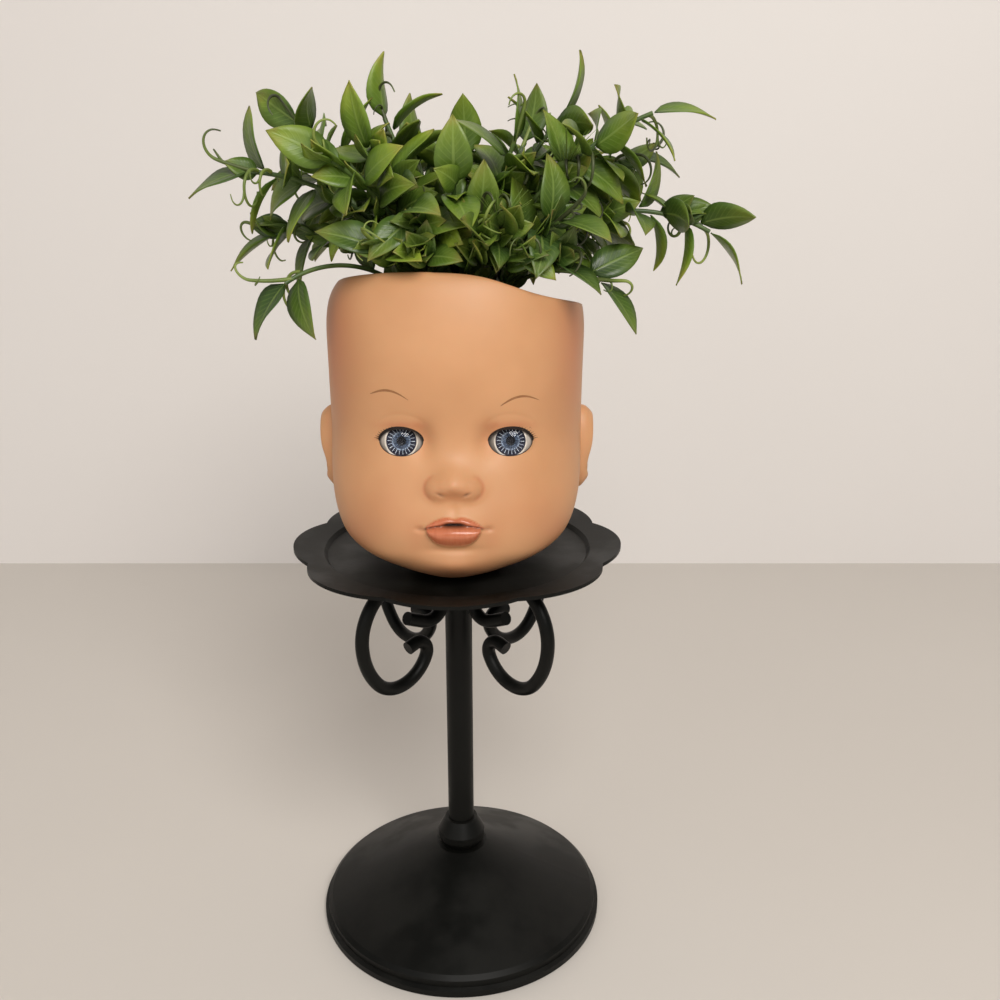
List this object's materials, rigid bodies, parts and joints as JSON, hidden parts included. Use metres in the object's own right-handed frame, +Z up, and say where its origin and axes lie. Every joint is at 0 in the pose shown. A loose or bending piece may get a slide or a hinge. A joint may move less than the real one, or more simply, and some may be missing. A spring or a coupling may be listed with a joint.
{
  "type": "head planter",
  "caption": "Doll-head planter: a cut-open vinyl doll head with sleep eyes holds an artificial leafy plant, on a black scalloped pillar stand with scroll brackets.",
  "frame": {"origin": "centre of the foot's underside, on the post axis", "axes": "+Z up along the post, -Y the way the face looks, +X to the right as the picture shows it"},
  "size_m": [0.2148, 0.1715, 0.3858],
  "materials": {
    "black_enamel": "satin black enamel",
    "zinc_steel": "zinc-plated steel",
    "felt": "black felt",
    "vinyl": "soft satin vinyl",
    "glue": "clear craft glue",
    "socket_plastic": "moulded plastic",
    "eye_white": "glossy moulded plastic",
    "iris_blue": "printed disc",
    "clear_plastic": "clear plastic",
    "lid_plastic": "painted plastic",
    "lash": "dark fibre strip",
    "weight_metal": "plain metal",
    "dry_foam": "dry floral foam",
    "stem_plastic": "moulded plastic over wire",
    "leaf_plastic": "moulded leaf plastic",
    "tendril_plastic": "moulded plastic"
  },
  "bodies": {
    "planter": {"bracket_left_front": "black_enamel", "bracket_left_rear": "black_enamel", "bracket_right_front": "black_enamel", "bracket_right_rear": "black_enamel", "foam_block": "dry_foam", "foot_felt": "felt", "foot_nut": "zinc_steel", "foot_shell": "black_enamel", "foot_washer": "zinc_steel", "head_shell": "vinyl", "left_eye_socket": "socket_plastic", "neck_glue": "glue", "plate": "black_enamel", "plate_nut": "zinc_steel", "plate_washer": "zinc_steel", "post_collar": "black_enamel", "post_tube": "black_enamel", "right_eye_socket": "socket_plastic", "tie_rod": "zinc_steel"},
    "left_eye": {"left_cornea": "clear_plastic", "left_eye_axle": "zinc_steel", "left_eye_weight": "weight_metal", "left_eyeball": "eye_white", "left_eyelid": "lid_plastic", "left_iris": "iris_blue", "left_lashes": "lash"},
    "right_eye": {"right_cornea": "clear_plastic", "right_eye_axle": "zinc_steel", "right_eye_weight": "weight_metal", "right_eyeball": "eye_white", "right_eyelid": "lid_plastic", "right_iris": "iris_blue", "right_lashes": "lash"},
    "plant": {"leaves_front": "leaf_plastic", "leaves_left": "leaf_plastic", "leaves_left_rear": "leaf_plastic", "leaves_rear": "leaf_plastic", "leaves_right": "leaf_plastic", "leaves_right_front": "leaf_plastic", "leaves_right_rear": "leaf_plastic", "plant_pick": "stem_plastic", "stems_front": "stem_plastic", "stems_left": "stem_plastic", "stems_left_rear": "stem_plastic", "stems_rear": "stem_plastic", "stems_right": "stem_plastic", "stems_right_front": "stem_plastic", "stems_right_rear": "stem_plastic", "tendrils_front": "tendril_plastic", "tendrils_left": "tendril_plastic", "tendrils_left_rear": "tendril_plastic", "tendrils_rear": "tendril_plastic", "tendrils_right": "tendril_plastic", "tendrils_right_front": "tendril_plastic", "tendrils_right_rear": "tendril_plastic"}
  },
  "joints": [
    {"name": "left_eye_roll", "type": "hinge", "parent": "planter", "child": "left_eye", "pos_m": [-0.0198, -0.02734, 0.23877], "axis": [1, 0, 0], "range_deg": [0, 49]},
    {"name": "right_eye_roll", "type": "hinge", "parent": "planter", "child": "right_eye", "pos_m": [0.0226, -0.02639, 0.2386], "axis": [1, 0, 0], "range_deg": [0, 49]},
    {"name": "plant_lift", "type": "slide", "parent": "planter", "child": "plant", "axis": [0, 0, 1], "range_m": [0, 0.09]}
  ]
}
